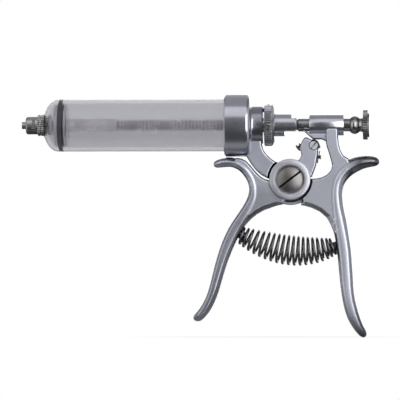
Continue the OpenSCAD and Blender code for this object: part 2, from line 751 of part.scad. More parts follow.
// The detent's spring, with its ends turned along its axis
detent_coil = [
    for (k = [0 : detent_turns * rings_per_turn])
        let (a = 360 * k / rings_per_turn)
        [
            detent_x + 0.5 + 2.25 * k / (detent_turns * rings_per_turn),
            detent_coil_r * sin(a), detent_z + detent_coil_r * cos(a)
        ]
];
detent_wire = concat(
    [detent_coil[0] - [detent_wire_d + 0.1, 0, 0], detent_coil[0] - [0.1, 0, 0]],
    [for (k = [1 : len(detent_coil) - 2]) detent_coil[k]],
    [
        detent_coil[len(detent_coil) - 1] + [0.1, 0, 0],
        detent_coil[len(detent_coil) - 1] + [detent_wire_d, 0, 0]
    ]
);

// A round wire along a path; axes gives a line to lay the rings by, which the path never follows
// except at its straight ends
module swept_wire(path, axes, radius, sides = 6) {
    last = len(path) - 1;
    rings = [
        for (i = [0 : last])
            let (
                way = unit(path[min(i + 1, last)] - path[max(i - 1, 0)]),
                side = unit(cross(way, abs(way * axes[i]) > 0.9 ? [0, 1, 0] : axes[i])),
                up = cross(side, way)
            )
            for (k = [0 : sides - 1])
                path[i] + radius * (cos(360 * k / sides) * side + sin(360 * k / sides) * up)
    ];
    walls = [
        for (i = [0 : last - 1])
            for (k = [0 : sides - 1])
                let (a = i * sides + k, b = i * sides + (k + 1) % sides)
                each [[a, b, b + sides], [a, b + sides, a + sides]]
    ];
    polyhedron(rings, concat(
        walls,
        [[for (k = [0 : sides - 1]) sides - 1 - k]],
        [[for (k = [0 : sides - 1]) last * sides + k]]
    ));
}

// The least gap between neighbouring turns of a coil
function least_gap(points, wire_d) = min([
    for (i = [0 : len(points) - 1 - rings_per_turn + 2])
        for (j = [i + rings_per_turn - 2 : min(len(points) - 1, i + rings_per_turn + 2)])
            norm(points[i] - points[j])
]) - wire_d;
echo(least_gap_of_handle_spring = least_gap(coil, wire_d));
echo(least_gap_of_detent_spring = least_gap(detent_coil, detent_wire_d));

module handle_spring() {
    color([0.25, 0.25, 0.27]) swept_wire(wire, wire_axes, wire_d / 2);
}

// Stands its children at an end of the spring, pointing along its axis into the coils
module at_lever_end()
    translate([spring_lever_end.x, 0, spring_lever_end.y])
        rotate([0, 90 - atan2(arc_way(0).y, arc_way(0).x), 0]) children();
module at_frame_end()
    translate([spring_frame_end.x, 0, spring_frame_end.y])
        rotate([0, 270 - atan2(arc_way(1).y, arc_way(1).x), 0]) children();

// What a handle loses for the spring's end: a round seat, and the hole for its peg
module spring_seat() {
    translate([0, 0, -spring_seat_depth]) cylinder(r = spring_seat_r, h = 8);
    translate([0, 0, -peg_depth]) cylinder(r = peg_r, h = peg_depth);
}

module lever_spring_peg() {
    color("gray") at_lever_end() translate([0, 0, -peg_depth]) cylinder(r = peg_r, h = peg_length);
}

module frame_spring_peg() {
    color("gray") at_frame_end() translate([0, 0, -peg_depth]) cylinder(r = peg_r, h = peg_length);
}

frame();
barrel();
barrel_gasket();
luer_head();
nozzle_nut();
nozzle_stem();
nozzle_washer();
piston_nut();
piston_front_disc();
piston_seal();
piston_rear_disc();
toothed_rod();
rod_knob();
guide_tube();
dose_dial();
detent_ball();
detent_spring();
trigger_lever();
pivot_screw();
pawl();
pawl_screw();
pawl_spring();
pawl_spring_screw();
handle_spring();
lever_spring_peg();
frame_spring_peg();
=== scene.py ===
# Looks of the automatic syringe. Everything is in the CAD part's frame: +X runs from the needle
# cone to the knob, +Z is up, and the photographed side is -Y. Lengths are written in millimetres
# and turned into metres by MM.
import math

import bmesh
import bpy
from mathutils import Matrix, Vector


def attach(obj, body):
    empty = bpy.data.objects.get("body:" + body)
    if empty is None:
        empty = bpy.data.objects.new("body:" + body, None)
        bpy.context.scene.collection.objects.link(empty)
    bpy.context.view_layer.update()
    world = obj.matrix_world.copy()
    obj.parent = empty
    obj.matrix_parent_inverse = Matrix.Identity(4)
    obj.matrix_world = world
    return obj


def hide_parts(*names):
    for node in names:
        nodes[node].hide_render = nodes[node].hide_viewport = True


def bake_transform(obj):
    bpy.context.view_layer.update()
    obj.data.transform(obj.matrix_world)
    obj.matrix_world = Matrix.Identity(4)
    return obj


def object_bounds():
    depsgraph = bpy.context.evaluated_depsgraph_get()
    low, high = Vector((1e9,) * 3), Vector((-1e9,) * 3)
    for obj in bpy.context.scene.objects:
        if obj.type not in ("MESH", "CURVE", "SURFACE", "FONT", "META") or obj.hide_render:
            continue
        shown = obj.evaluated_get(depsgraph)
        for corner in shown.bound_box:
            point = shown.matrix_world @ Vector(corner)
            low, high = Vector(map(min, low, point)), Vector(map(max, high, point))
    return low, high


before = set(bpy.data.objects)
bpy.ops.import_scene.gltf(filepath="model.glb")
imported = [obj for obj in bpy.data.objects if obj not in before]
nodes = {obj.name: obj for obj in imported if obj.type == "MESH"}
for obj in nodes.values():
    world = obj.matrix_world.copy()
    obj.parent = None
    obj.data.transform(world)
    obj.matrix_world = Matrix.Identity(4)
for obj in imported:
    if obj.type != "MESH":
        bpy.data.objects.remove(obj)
cad_box = [list(corner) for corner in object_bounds()]

MM = 0.001
SCENE = bpy.context.scene

# Sizes and places shared with the CAD part; a place along one axis ends in that axis's letter
MAIN_PIVOT = (150.6, -30.6)
PAWL_PIVOT = (163.9, -11.5)
PLATE_Y = 5.65
BAR_Y = 6.5
ARM_Y = 4.6
RING_FRONT_Y = -7.6
RING_FLOOR_Y = -4.4
RING_R = 11.5
RECESS_R = 8.1
BOSS_R = 14.1
BEARING_R = 4.05
BARREL_R = 14.65
COLLAR_R = 17.7
COLLAR_X, COLLAR_END_X = 114, 128.6
COLLAR_FLOOR_X = 125.4
NECK_R = 10.7
NECK_END_X = 135.5
TUBE_R = 4.05
SLEEVE_R = 5.85
SLEEVE_X, SLEEVE_END_X = 161.3, 180.7
ROD_R = 3.6
BORE_R = 12.65
SEAL_GROOVE_R = 9.45
DIAL_R = 12.0
DIAL_X, DIAL_RIM_END_X, DIAL_CONE_END_X = 136.3, 140.6, 141.8
NUT_R = 5.9
STEM_R = 2.6
SLIDE = 0.1             # gap between faces that slide past each other
EDGE_BEVEL = 0.7
ARCH_BEVEL = 2.3
BEVEL_DEPTH = 1.3

# Outlines in the XZ plane. A third number is the width of the bevel at that corner.
NECK_PLATE = [
    (126.5, -4), (134.9, -4), (135, -11.1), (136.1, -14.4), (138.2, -17.1), (140.9, -19.5),
    (144.3, -21.4), (150, -24), (146, -33), (137.7, -29.7), (134.3, -27.9), (131.4, -25.2),
    (128.9, -21.9), (126.8, -18.6), (125, -15.2), (126.5, -14.4),
]
PALM_PLATE = [
    (162.7, -30.1), (165, -30), (168.3, -29.3), (171.1, -27.9), (173.4, -25.6), (174.2, -22.8),
    (173.4, -19.5), (172.3, -15.6), (171.1, -12.2), (170.5, -8.8), (170.5, -3), (171.5, -1.6),
    (176.8, -1.6), (177.6, -2.4), (177.6, -6.6), (178.1, -11.1), (179, -14.4), (180.7, -17.2),
    (183.5, -18.9), (184.5, -24), (178.5, -32), (177, -42), (178.5, -52), (178.5, -61),
    (175.4, -61), (174.3, -58.3, ARCH_BEVEL), (173.1, -55.4, ARCH_BEVEL),
    (171.2, -52, ARCH_BEVEL), (167.3, -48.6, ARCH_BEVEL), (162.7, -46.4, ARCH_BEVEL),
    (158.6, -45.2, ARCH_BEVEL), (156.5, -44.9, 1.5), (157.6, -42), (156, -36),
]
FINGER_WEB = [
    (157.9, -3.3, 0.25), (158.5, -2.6, 0.25), (160, -3.8, 0.5), (161.5, -4.4, 0.5),
    (172, -4.4, 0.5), (172, -10, 0.5), (170.2, -9, 0.5), (168.3, -8.1, 0.5), (163.2, -8, 0.5),
]
FINGER_SLOT = [
    (155, 0), (161, 0), (161, -4.7), (163.5, -5.9), (166.8, -6.7), (166.8, -12), (155, -12),
]
LEVER_PLATE = [
    (118.6, -20), (120.4, -18.4), (123.4, -18.8), (126.2, -20.2), (128.4, -22.6), (131.1, -25.9),
    (134, -28.8), (136.4, -30.3), (138.6, -30.9), (146, -30), (150, -38), (147.1, -44.3),
    (143.1, -45.2, ARCH_BEVEL), (135.9, -47.6, ARCH_BEVEL), (131.9, -49.9, ARCH_BEVEL),
    (128.8, -52.4, ARCH_BEVEL), (126, -55.4, ARCH_BEVEL), (123.6, -58.8, ARCH_BEVEL),
    (119.5, -58.8), (123.5, -50), (128.4, -41), (129, -33), (126, -25.6),
]
CARRIER_ARM = [
    (152, -22.5), (154.5, -20.4), (156.3, -18.6), (156.9, -16.8), (156.5, -15), (155.7, -13.1),
    (156.4, -11.2), (157.5, -8.5), (158.6, -7.2), (159.6, -6.8), (162.8, -8.4), (164.9, -9.6),
    (165.8, -10.9), (166.2, -12.6), (166.2, -17), (165.2, -22.8), (162.8, -29.2), (156, -30),
]
# Stations of the grip bars: X, Z, half the width, half the depth as a share, and how flat the
# faces are, from 0 for round to 1
PALM_BAR = [
    (200.4, -20.4, 0.9, 0.30, 0), (199.5, -20.4, 2.0, 0.55, 0), (197.6, -20.4, 2.8, 0.75, 0),
    (194.6, -20.4, 3.3, 0.90, 0), (190.9, -20.9, 3.7, 1, 0), (187.0, -22.1, 4.2, 1, 0),
    (183.2, -24.2, 4.3, 1, 0), (179.8, -27.5, 4.1, 1, 0), (177.3, -31.8, 3.9, 1, 0),
    (176.3, -36.8, 3.8, 1, 0.1), (176.4, -42.0, 3.8, 1, 0.2), (177.0, -47.5, 3.9, 1, 0.3),
    (177.9, -53.1, 4.2, 1, 0.4), (178.9, -58.8, 4.2, 1, 0.5), (179.9, -64.5, 4.1, 1, 0.6),
    (180.8, -71.0, 4.1, 1, 0.6), (181.4, -77.7, 4.0, 1, 0.6), (182.0, -85.0, 3.9, 1, 0.6),
    (182.6, -92.0, 3.7, 1, 0.6), (183.5, -97.9, 3.6, 0.98, 0.6), (184.8, -103.4, 3.6, 0.95, 0.6),
    (186.4, -108.1, 3.4, 0.90, 0.6), (188.6, -112.6, 2.9, 0.80, 0.5), (190.1, -114.9, 2.6, 0.70, 0.4),
    (191.2, -116.5, 2.3, 0.60, 0.2), (192.0, -117.7, 1.6, 0.45, 0), (192.5, -118.4, 0.7, 0.25, 0),
]
LEVER_BAR = [
    (107.7, -22.2, 0.9, 0.30, 0), (108.9, -21.9, 2.0, 0.55, 0), (111.2, -21.3, 2.5, 0.75, 0),
    (114.3, -20.8, 2.7, 0.85, 0), (117.8, -20.8, 2.7, 0.95, 0), (121.2, -21.9, 2.7, 1, 0),
    (124.3, -23.8, 2.8, 1, 0), (127.0, -26.7, 2.9, 1, 0), (129.1, -30.2, 2.9, 1, 0),
    (130.2, -34.0, 2.9, 1, 0.1), (130.3, -37.5, 3.0, 1, 0.2), (129.6, -41.4, 3.2, 1, 0.4),
    (127.1, -46.6, 3.3, 1, 0.6), (123.5, -52.5, 3.5, 1, 0.8), (120.0, -58.0, 3.6, 1, 0.8),
    (117.3, -63.2, 3.6, 1, 0.8), (115.0, -68.5, 3.5, 1, 0.8), (112.9, -74.3, 3.3, 1, 0.8),
    (111.0, -80.6, 3.15, 1, 0.8), (109.3, -86.9, 3.0, 1, 0.8), (107.6, -92.8, 2.9, 1, 0.8),
    (105.6, -98.0, 2.8, 0.98, 0.8), (102.9, -102.9, 2.8, 0.93, 0.7), (100.1, -106.4, 2.7, 0.85, 0.5),
    (98.6, -107.6, 2.5, 0.70, 0.3), (97.4, -108.5, 1.7, 0.45, 0), (96.8, -109.0, 0.7, 0.25, 0),
]


# Building meshes

def add(name, verts, faces):
    """A new mesh object from points in millimetres."""
    mesh = bpy.data.meshes.new(name)
    mesh.from_pydata([tuple(c * MM for c in v) for v in verts], [], faces)
    bm = bmesh.new()
    bm.from_mesh(mesh)
    bmesh.ops.recalc_face_normals(bm, faces=bm.faces)
    bm.to_mesh(mesh)
    bm.free()
    obj = bpy.data.objects.new(name, mesh)
    SCENE.collection.objects.link(obj)
    return obj


def crisp(obj, degrees=32):
    """Smooth shading that stops at edges sharper than an angle."""
    obj.data.shade_smooth()
    obj.data.set_sharp_from_angle(angle=math.radians(degrees))
    return obj


def revolved(name, rings, degrees=32):
    """A closed body through rings of points that stand all the way round an axis."""
    count, turns = len(rings[0]), len(rings)
    verts = [point for ring in rings for point in ring]
    faces = []
    for k in range(turns):
        here, there = k * count, (k + 1) % turns * count
        for i in range(count):
            j = (i + 1) % count
            faces.append([here + i, here + j, there + j, there + i])
    return crisp(add(name, verts, faces), degrees)


def loft(name, rings):
    """A closed body through rings of points, all with the same count, capped at both ends."""
    count = len(rings[0])
    verts = [point for ring in rings for point in ring]
    last = len(rings) - 1
    faces = [list(range(count))[::-1], [last * count + k for k in range(count)]]
    for i in range(last):
        for k in range(count):
            a, b = i * count + k, i * count + (k + 1) % count
            faces.append([a, b, b + count, a + count])
    return add(name, verts, faces)


def slab(name, outline, low, high):
    """A plate with an outline in the XZ plane, between two depths."""
    return loft(name, [[(corner[0], y, corner[1]) for corner in outline] for y in (low, high)])


def inset(outline):
    """The corners of a clockwise outline, each moved inwards by the width of its bevel."""
    moved = []
    for i, corner in enumerate(outline):
        at = Vector(corner[:2])
        way_in = (at - Vector(outline[i - 1][:2])).normalized()
        way_out = (Vector(outline[(i + 1) % len(outline)][:2]) - at).normalized()
        left_in, left_out = Vector((way_in.y, -way_in.x)), Vector((way_out.y, -way_out.x))
        bevel = corner[2] if len(corner) > 2 else EDGE_BEVEL
        moved.append(at + (left_in + left_out) * bevel / (1 + left_in.dot(left_out)))
    return moved


def bevelled_slab(name, outline, low, high):
    """A plate like slab(), with bevelled edges on both faces."""
    narrow = inset(outline)
    levels = [(narrow, low), (outline, low + BEVEL_DEPTH), (outline, high - BEVEL_DEPTH), (narrow, high)]
    return loft(name, [[(corner[0], y, corner[1]) for corner in ring] for ring, y in levels])


TURNED_SIDES, CUTTER_SIDES = 128, 96
TOOTH_STEPS = 8         # points round each tooth of a knurl
TOOTH_EDGE = 28         # degrees, for crisp()
TOOTH_POWER = 0.75      # below 1 for grooves that are wider than the ridges


def round_angles(sides):
    """Angles all the way round, in radians."""
    return [2 * math.pi * k / sides for k in range(sides)]


def turned(name, profile):
    """A closed body of revolution about the barrel's axis, from points of radius and X."""
    return revolved(name, [
        [(x, r * math.sin(a), r * math.cos(a)) for r, x in profile] for a in round_angles(TURNED_SIDES)])


def drum(name, centre, profile):
    """A closed body of revolution about a line along Y through centre, which is X and Z, from
    points of radius and Y."""
    return revolved(name, [
        [(centre[0] + r * math.cos(a), y, centre[1] + r * math.sin(a)) for r, y in profile]
        for a in round_angles(TURNED_SIDES)])


def knurled(name, stations, bore, teeth, flats=(), flat_r=0.0):
    """A ring about the barrel's axis whose outside is ridged. A station is X, radius and depth of
    the grooves there; bore is the inner radius at the front and at the back, and flats are the
    turns, in degrees, of flat faces at a distance of flat_r."""
    rings = []
    for a in round_angles(teeth * TOOTH_STEPS):
        groove = (0.5 - 0.5 * math.cos(teeth * a)) ** TOOTH_POWER
        away = [math.cos(a - math.radians(flat)) for flat in flats]
        ring = []
        for x, radius, depth in stations:
            r = radius - depth * groove
            for share in away:
                if share > 0.5:     # a flat reaches 60 degrees either way at most
                    r = min(r, flat_r / share)
            ring.append((r, x))
        ring += [(bore[1], stations[-1][0]), (bore[0], stations[0][0])]
        rings.append([(x, r * math.sin(a), r * math.cos(a)) for r, x in ring])
    return revolved(name, rings, TOOTH_EDGE)


def curve_point(a, b, c, d, t):
    """A place between b and c on the smooth curve through four stations."""
    return [
        0.5 * (2 * q + (r - p) * t + (2 * p - 5 * q + 4 * r - s) * t * t
               + (3 * q - p - 3 * r + s) * t ** 3)
        for p, q, r, s in zip(a, b, c, d)
    ]


def smooth_path(points, steps):
    """Stations along the smooth curve through points, the given ones among them."""
    last = len(points) - 1
    path = [
        curve_point(points[max(i - 1, 0)], points[i], points[i + 1], points[min(i + 2, last)], k / steps)
        for i in range(last) for k in range(steps)
    ]
    return path + [list(points[last])]


def signed_power(value, power):
    return math.copysign(abs(value) ** power, value)


BAR_SIDES, BAR_STEPS = 72, 8
CHAMFER_WIDTH, CHAMFER_DEPTH = 2.6, 2.3


def grip_bar(name, stations, inner, depth):
    """A bar swept along its stations. Its section goes from round to flat-faced with a chamfer
    along its inner side; inner is the sign of that side, and depth is half the bar's."""
    path = smooth_path(stations, BAR_STEPS)
    last = len(path) - 1
    rings = []
    for i, (x, z, half, share, flat) in enumerate(path):
        ahead = Vector(path[min(i + 1, last)][:2]) - Vector(path[max(i - 1, 0)][:2])
        across = Vector((-ahead.y, ahead.x)).normalized()
        flat = max(flat, 0.001)     # what divides by it needs more than 0
        power = 1 - 0.5 * flat      # 1 makes a section round, and less makes it squarer
        ring = []
        for k in range(BAR_SIDES):
            turn = 2 * math.pi * (k + 0.5) / BAR_SIDES
            side = signed_power(math.cos(turn), power) * half
            deep = signed_power(math.sin(turn), power) * share * depth
            room = (half - side * inner) / (CHAMFER_WIDTH * flat)
            if room < 1:
                limit = share * depth - CHAMFER_DEPTH * flat * (1 - room)
                deep = math.copysign(min(abs(deep), limit), deep)
            ring.append((x + across.x * side, deep, z + across.y * side))
        rings.append(ring)
    return loft(name, rings)


def modify(obj, kind, **settings):
    """Adds a modifier, sets it and applies it."""
    modifier = obj.modifiers.new(kind.lower(), kind)
    for key, value in settings.items():
        setattr(modifier, key, value)
    depsgraph = bpy.context.evaluated_depsgraph_get()
    mesh = bpy.data.meshes.new_from_object(obj.evaluated_get(depsgraph))
    obj.modifiers.clear()
    obj.data = mesh


VOXEL, SMOOTH_ROUNDS = 0.32, 2


def fuse(name, parts):
    """Joins overlapping closed parts into one casting with softened edges."""
    bm = bmesh.new()
    for part in parts:
        bm.from_mesh(part.data)
        bpy.data.objects.remove(part)
    mesh = bpy.data.meshes.new(name)
    bm.to_mesh(mesh)
    bm.free()
    obj = bpy.data.objects.new(name, mesh)
    SCENE.collection.objects.link(obj)
    modify(obj, "REMESH", mode="VOXEL", voxel_size=VOXEL * MM, use_smooth_shade=True)
    modify(obj, "SMOOTH", factor=0.5, iterations=SMOOTH_ROUNDS)
    obj.data.shade_smooth()
    return obj


def cut(obj, *cutters):
    """Takes the cutters away from a piece."""
    for cutter in cutters:
        modify(obj, "BOOLEAN", operation="DIFFERENCE", object=cutter, solver="EXACT")
        bpy.data.objects.remove(cutter)
    return obj


def arc(centre, radius, start, end, steps):
    """Points round a circle in the XZ plane, between two angles in degrees."""
    angles = [math.radians(start + (end - start) * k / steps) for k in range(steps + 1)]
    return [(centre[0] + radius * math.cos(a), centre[1] + radius * math.sin(a)) for a in angles]


def circle(centre, radius):
    return arc(centre, radius, 0, 360 - 360 / CUTTER_SIDES, CUTTER_SIDES - 1)


def cylinder_y(centre, radius, low, high):
    return slab("cutter", circle(centre, radius), low, high)


def cylinder_x(radius, low, high):
    return loft("cutter", [[(x, y, z) for y, z in circle((0, 0), radius)] for x in (low, high)])


def rectangle(x_low, x_high, z_low, z_high):
    """The outline of a rectangle in the XZ plane."""
    return [(x_low, z_low), (x_low, z_high), (x_high, z_high), (x_high, z_low)]


# Materials

MOST_LOW, MOST_HIGH = 0.3, 0.7  # most of a noise lies between these


def tree_of(name):
    """A new material, its node tree, and the shader and output in it."""
    material = bpy.data.materials.new(name)
    material.use_nodes = True
    tree = material.node_tree
    tree.nodes.clear()
    out = tree.nodes.new("ShaderNodeOutputMaterial")
    shader = tree.nodes.new("ShaderNodeBsdfPrincipled")
    tree.links.new(shader.outputs["BSDF"], out.inputs["Surface"])
    return material, tree, shader, out


def place_of(tree, stretch=(1, 1, 1), shift=(0, 0, 0)):
    """A place in the object's own space, in metres, stretched and then moved."""
    place = tree.nodes.new("ShaderNodeTexCoord")
    mapping = tree.nodes.new("ShaderNodeMapping")
    mapping.vector_type = "POINT"
    mapping.inputs["Scale"].default_value = stretch
    mapping.inputs["Location"].default_value = shift
    tree.links.new(place.outputs["Object"], mapping.inputs["Vector"])
    return mapping.outputs["Vector"]


def feed(tree, socket, value):
    """Gives a socket its value: a number, a colour, or another node's output."""
    if isinstance(value, bpy.types.NodeSocket):
        tree.links.new(value, socket)
    else:
        socket.default_value = value


def component(tree, vector, axis):
    """One of the three numbers of a vector."""
    split = tree.nodes.new("ShaderNodeSeparateXYZ")
    tree.links.new(vector, split.inputs["Vector"])
    return split.outputs[axis]


def length_of(tree, vector):
    node = tree.nodes.new("ShaderNodeVectorMath")
    node.operation = "LENGTH"
    tree.links.new(vector, node.inputs[0])
    return node.outputs["Value"]


def place_from(tree, centre, stretch=(1, 1, 1)):
    """A place like place_of(), measured from a centre that is X and Z in millimetres."""
    return place_of(tree, stretch, (-centre[0] * MM, 0, -centre[1] * MM))


def noise(tree, scale, detail, roughness=0.55, stretch=(1, 1, 1)):
    """Noise in the object's own space; scale is features per metre."""
    texture = tree.nodes.new("ShaderNodeTexNoise")
    texture.inputs["Scale"].default_value = scale
    texture.inputs["Detail"].default_value = detail
    texture.inputs["Roughness"].default_value = roughness
    tree.links.new(place_of(tree, stretch), texture.inputs["Vector"])
    return texture.outputs["Fac"]


def ramp(tree, value, stops):
    """A colour for a value from 0 to 1; a stop is a value and its colour."""
    node = tree.nodes.new("ShaderNodeValToRGB")
    elements = node.color_ramp.elements
    elements[0].position, elements[1].position = stops[0][0], stops[-1][0]
    elements[0].color, elements[1].color = (*stops[0][1], 1), (*stops[-1][1], 1)
    for position, colour in stops[1:-1]:
        elements.new(position).color = (*colour, 1)
    tree.links.new(value, node.inputs["Fac"])
    return node.outputs["Color"]


def spread(tree, value, low, high, from_low=MOST_LOW, from_high=MOST_HIGH):
    """A value moved from one range to another, and held at its ends."""
    node = tree.nodes.new("ShaderNodeMapRange")
    node.inputs["From Min"].default_value = from_low
    node.inputs["From Max"].default_value = from_high
    node.inputs["To Min"].default_value = low
    node.inputs["To Max"].default_value = high
    tree.links.new(value, node.inputs["Value"])
    return node.outputs["Result"]


def math_node(tree, operation, *values):
    """A Math node; a value is a number or another node's output."""
    node = tree.nodes.new("ShaderNodeMath")
    node.operation = operation
    for socket, value in zip(node.inputs, values):
        feed(tree, socket, value)
    return node.outputs[0]


def mixed(tree, share, first, second, blend="MIX"):
    """Two colours mixed, with a share of the second; each is a colour or a node's output."""
    node = tree.nodes.new("ShaderNodeMix")
    node.data_type = "RGBA"
    node.blend_type = blend
    for name, value in (("Factor", share), ("A", first), ("B", second)):
        feed(tree, node.inputs[name], value)
    return node.outputs["Result"]


def tinted(tree, colour, factor, low, high):
    """A colour made darker or lighter: by low where factor is 0, and by high where it is 1."""
    tint = ramp(tree, factor, [(0.0, (low, low, low)), (1.0, (high, high, high))])
    return mixed(tree, 1.0, colour, tint, "MULTIPLY")


def patchy(tree, noise_value, dark, light):
    """A colour that changes from place to place with a noise."""
    return ramp(tree, noise_value, [(MOST_LOW, dark), (MOST_HIGH, light)])


def bump(tree, shader, height, strength, distance):
    """Makes the surface rough by a height, as deep as distance in millimetres."""
    node = tree.nodes.new("ShaderNodeBump")
    node.inputs["Strength"].default_value = strength
    node.inputs["Distance"].default_value = distance * MM
    tree.links.new(height, node.inputs["Height"])
    tree.links.new(node.outputs["Normal"], shader.inputs["Normal"])


def along(tree, axis, low, high):
    """From 0 at one place along an axis to 1 at another, in millimetres."""
    return spread(tree, component(tree, place_of(tree), axis), 0, 1, low * MM, high * MM)


# The stretch that leaves, of a place, only how far it is from a line along Y or along X
ROUND_Y, ROUND_X = (1, 0, 1), (0, 1, 1)

# How dark the painted shade is in a screw's slot, in a ring-shaped gap and in the rod's grooves, as a
# factor on the metal's colour
SLOT_SHADE, GAP_SHADE, GROOVE_SHADE = 0.06, 0.1, 0.8
# The places along Y between which the painted shade on the -Y side comes to an end
SLOT_SHADE_END, GAP_SHADE_END = (-0.5, 0.5), (0.6, 1.0)
# Where the painted shade ends sideways: as a factor on half the slot's width, and past the gap's radii
SLOT_SHADE_SIDES, GAP_SHADE_FADE = (1.03, 1.08), 0.2


def slot_dirt(tree, colour, centre, degrees, width):
    """Darkens a colour with painted shade inside the slot of a screw's head, which is on the -Y side.
    The slot runs through centre at an angle in the XZ plane."""
    across = tree.nodes.new("ShaderNodeVectorMath")
    across.operation = "DOT_PRODUCT"
    angle = math.radians(degrees)
    across.inputs[1].default_value = (-math.sin(angle), 0, math.cos(angle))
    tree.links.new(place_from(tree, centre), across.inputs[0])
    distance = math_node(tree, "ABSOLUTE", across.outputs["Value"])
    beside = spread(tree, distance, 0, 1, *[width / 2 * MM * share for share in SLOT_SHADE_SIDES])
    behind = along(tree, "Y", *SLOT_SHADE_END)
    return tinted(tree, colour, math_node(tree, "MAXIMUM", beside, behind), SLOT_SHADE, 1.0)


def gap_dirt(tree, colour, centre, low, high):
    """Darkens a colour with painted shade in a ring between two radii round a line along Y, as deep as
    the middle plane, where the gap has its floor."""
    distance = length_of(tree, place_from(tree, centre, ROUND_Y))
    outside = spread(tree, distance, 0, 1, high * MM, (high + GAP_SHADE_FADE) * MM)
    inside = spread(tree, distance, 1, 0, (low - GAP_SHADE_FADE) * MM, low * MM)
    behind = along(tree, "Y", *GAP_SHADE_END)
    clear = math_node(tree, "MAXIMUM", math_node(tree, "MAXIMUM", inside, outside), behind)
    return tinted(tree, colour, clear, GAP_SHADE, 1.0)


# The geometry's pointiness at a hollow corner, where dirt and painted shade are darkest, and at an edge,
# where wear and a painted highlight are lightest
HOLLOW_POINTINESS, EDGE_POINTINESS = 0.44, 0.56
# How much of a surface's direction is along Y, where it has turned away and where it is flat
TURNED_AWAY, FLAT_ON = 0.88, 0.98
# Where hands have polished the grips: from X to X, in millimetres, towards each end
HELD_LEFT, HELD_RIGHT = (118, 109), (184, 191)


def metal(name, dark, light, rough, grain, blotch=60, bump_mm=0.01, stretch=(1, 1, 1),
          edges=None, sides=None, held=None, slot=None, gap=None, groove=None, painted_shade_or_light=None):
    """Metal with a fine grain, slow changes of tone and uneven polish. edges darkens hollow
    corners with dirt and painted shade and lightens edges with wear and a painted highlight, by two
    factors. sides and held are the roughness, as factors, where the surface turns away from the flat
    faces, and where hands have polished the ends of the grips. slot is a screw's slot and gap a
    ring-shaped gap, for the two functions above that paint shade into them. groove is the two radii
    about X between which the painted shade in a groove comes to an end. The last argument is a
    factor on the colour, an axis and the four places along it, in millimetres, between which the
    factor comes and goes: below 1 it paints shade, above 1 it paints light."""
    material, tree, shader, _ = tree_of(name)
    shader.inputs["Metallic"].default_value = 1.0
    slow = noise(tree, blotch, 4)
    fine = noise(tree, grain, 2, 0.6, stretch)
    colour = patchy(tree, slow, dark, light)
    # Dirt and painted shade in hollow corners, wear and a painted highlight on edges
    if edges:
        geometry = tree.nodes.new("ShaderNodeNewGeometry")
        dirt_wear_and_painted_light = spread(tree, geometry.outputs["Pointiness"], 0, 1, HOLLOW_POINTINESS, EDGE_POINTINESS)
        colour = tinted(tree, colour, dirt_wear_and_painted_light, *edges)
    # Painted shade in a screw's slot
    if slot:
        colour = slot_dirt(tree, colour, *slot)
    # Painted shade in a ring-shaped gap
    if gap:
        colour = gap_dirt(tree, colour, *gap)
    # Painted shade in the grooves between the rod's teeth
    if groove:
        distance = length_of(tree, place_of(tree, ROUND_X))
        outside = spread(tree, distance, 0, 1, groove[0] * MM, groove[1] * MM)
        colour = tinted(tree, colour, outside, GROOVE_SHADE, 1.0)
    # Painted shade, or painted light where the factor is over 1, between places along an axis
    if painted_shade_or_light:
        factor, axis, *places = painted_shade_or_light
        come, go = along(tree, axis, *places[:2]), along(tree, axis, places[3], places[2])
        within = math_node(tree, "MINIMUM", come, go)
        colour = tinted(tree, colour, within, 1.0, factor)
    roughness = spread(tree, slow, *rough)
    if sides:
        normal = tree.nodes.new("ShaderNodeTexCoord").outputs["Normal"]
        facing = math_node(tree, "ABSOLUTE", component(tree, normal, "Y"))
        by_side = spread(tree, facing, sides, 1, TURNED_AWAY, FLAT_ON)
        roughness = math_node(tree, "MULTIPLY", roughness, by_side)
    if held:
        left, right = along(tree, "X", *HELD_LEFT), along(tree, "X", *HELD_RIGHT)
        by_hand = spread(tree, math_node(tree, "MAXIMUM", left, right), 1, held, 0, 1)
        roughness = math_node(tree, "MULTIPLY", roughness, by_hand)
    tree.links.new(colour, shader.inputs["Base Color"])
    tree.links.new(roughness, shader.inputs["Roughness"])
    bump(tree, shader, fine, strength=0.5, distance=bump_mm)
    return material


MARKS_PER_METRE = 1400


def lathe_marks(name, dark, light, rough, centre, slot=None):
    """Metal faced on a lathe: fine rings about a line along Y, through a centre in millimetres."""
    material, tree, shader, _ = tree_of(name)
    shader.inputs["Metallic"].default_value = 1.0
    slow = noise(tree, 160, 4)
    colour = patchy(tree, slow, dark, light)
    # Painted shade in the screw's slot
    if slot:
        colour = slot_dirt(tree, colour, *slot)
    tree.links.new(colour, shader.inputs["Base Color"])
    tree.links.new(spread(tree, slow, *rough), shader.inputs["Roughness"])
    rings = tree.nodes.new("ShaderNodeTexNoise")
    rings.noise_dimensions = "1D"
    rings.inputs["Scale"].default_value = MARKS_PER_METRE
    rings.inputs["Detail"].default_value = 3
    tree.links.new(length_of(tree, place_from(tree, centre, ROUND_Y)), rings.inputs["W"])
    bump(tree, shader, rings.outputs["Fac"], strength=0.6, distance=0.02)
    return material


def rubber(name, colour, rough):
    """Dull black rubber, a little greyer in patches."""
    material, tree, shader, _ = tree_of(name)
    slow = noise(tree, 300, 3)
    greyer = tuple(c * 1.35 + 0.004 for c in colour)
    tree.links.new(patchy(tree, slow, colour, greyer), shader.inputs["Base Color"])
    tree.links.new(spread(tree, slow, *rough), shader.inputs["Roughness"])
    bump(tree, shader, noise(tree, 1500, 2), strength=0.4, distance=0.01)
    return material


# How clear the barrel is at each height: painted shade darkens its lower half, most of all just under
# the rod
BARREL_SHADE = [
    (-BARREL_R, 0.95), (-11, 0.955), (-8.7, 0.915), (-6.5, 0.885), (-4.3, 0.88), (1, 1), (BARREL_R, 1),
]


